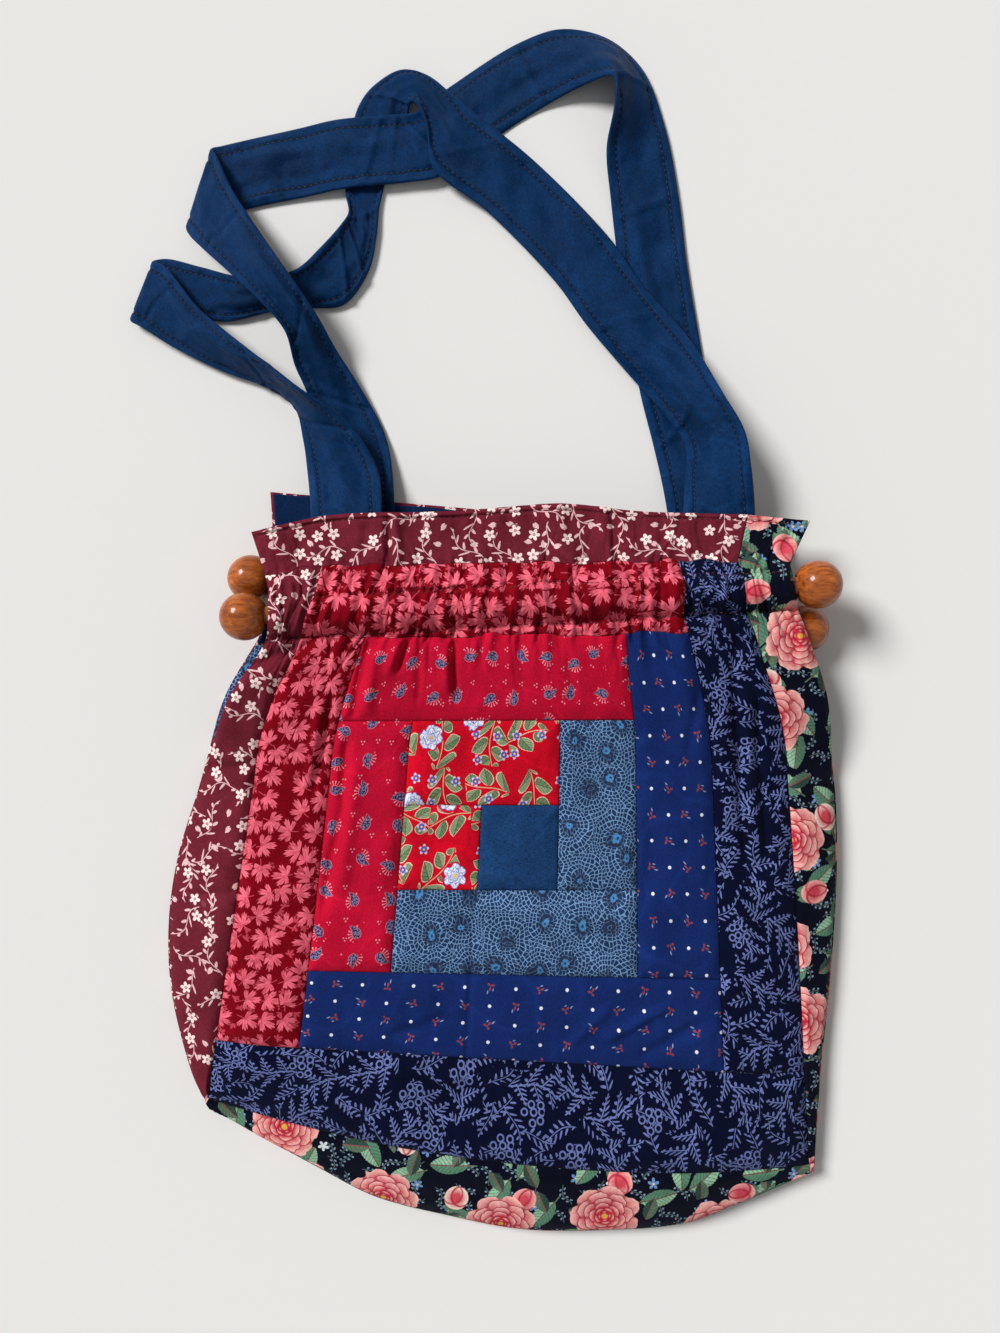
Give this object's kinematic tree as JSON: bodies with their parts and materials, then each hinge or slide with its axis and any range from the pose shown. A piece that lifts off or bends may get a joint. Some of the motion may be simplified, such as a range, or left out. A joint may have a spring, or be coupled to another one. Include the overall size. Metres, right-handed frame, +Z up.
{
  "type": "tote bag",
  "caption": "Soft quilted patchwork tote bag lying on its back, its mouth gathered on wooden dowels with ball ends, long cloth straps laid loose beyond it.",
  "frame": {"origin": "on the floor under the middle of the patchwork block, on the flat outer face of the back panel's centre patch", "axes": "+Z up from the floor through the bag, +Y from the hem toward the mouth and straps, +X to the right as seen from above"},
  "size_m": [0.3889, 0.662, 0.0451],
  "materials": {
    "navy_solid": "plain woven cotton, solid navy",
    "floral_red": "cotton, bright red small floral print",
    "crackle_blue": "cotton, blue crackle print",
    "paisley_red": "cotton, crimson paisley print",
    "dot_navy": "cotton, navy dot print",
    "leaf_red": "cotton, dark red leaf print",
    "fern_navy": "cotton, near-black navy fern print",
    "vine_burgundy": "cotton, burgundy vine print",
    "rose_navy": "cotton, black-navy rose print",
    "wood": "brown stain under gloss varnish"
  },
  "bodies": {
    "bag": {"back_center_square": "navy_solid", "back_crackle_bottom": "crackle_blue", "back_crackle_right": "crackle_blue", "back_dot_bottom": "dot_navy", "back_dot_right": "dot_navy", "back_facing": "navy_solid", "back_fern_bottom": "fern_navy", "back_fern_right": "fern_navy", "back_floral_left": "floral_red", "back_floral_top": "floral_red", "back_leaf_left": "leaf_red", "back_leaf_top": "leaf_red", "back_lining": "crackle_blue", "back_paisley_left": "paisley_red", "back_paisley_top": "paisley_red", "back_rose_bottom": "rose_navy", "back_rose_right": "rose_navy", "back_strap": "navy_solid", "back_vine_left": "vine_burgundy", "back_vine_top": "vine_burgundy", "front_center_square": "navy_solid", "front_crackle_bottom": "crackle_blue", "front_crackle_right": "crackle_blue", "front_dot_bottom": "dot_navy", "front_dot_right": "dot_navy", "front_facing": "navy_solid", "front_fern_bottom": "fern_navy", "front_fern_right": "fern_navy", "front_floral_left": "floral_red", "front_floral_top": "floral_red", "front_leaf_left": "leaf_red", "front_leaf_top": "leaf_red", "front_lining": "crackle_blue", "front_paisley_left": "paisley_red", "front_paisley_top": "paisley_red", "front_rose_bottom": "rose_navy", "front_rose_right": "rose_navy", "front_strap": "navy_solid", "front_vine_left": "vine_burgundy", "front_vine_top": "vine_burgundy"},
    "front_rod": {"front_rod": "wood", "front_ball_left": "wood", "front_ball_right": "wood"},
    "back_rod": {"back_rod": "wood", "back_ball_left": "wood", "back_ball_right": "wood"}
  },
  "joints": [
    {"name": "front_rod_spin", "type": "hinge", "parent": "bag", "child": "front_rod", "pos_m": [0.0046, 0.1357, 0.0325], "axis": [0.9984, 0.0558, 0], "continuous": true},
    {"name": "back_rod_spin", "type": "hinge", "parent": "bag", "child": "back_rod", "pos_m": [0.0036, 0.1352, 0.013], "axis": [0.9959, -0.0906, 0], "continuous": true}
  ]
}
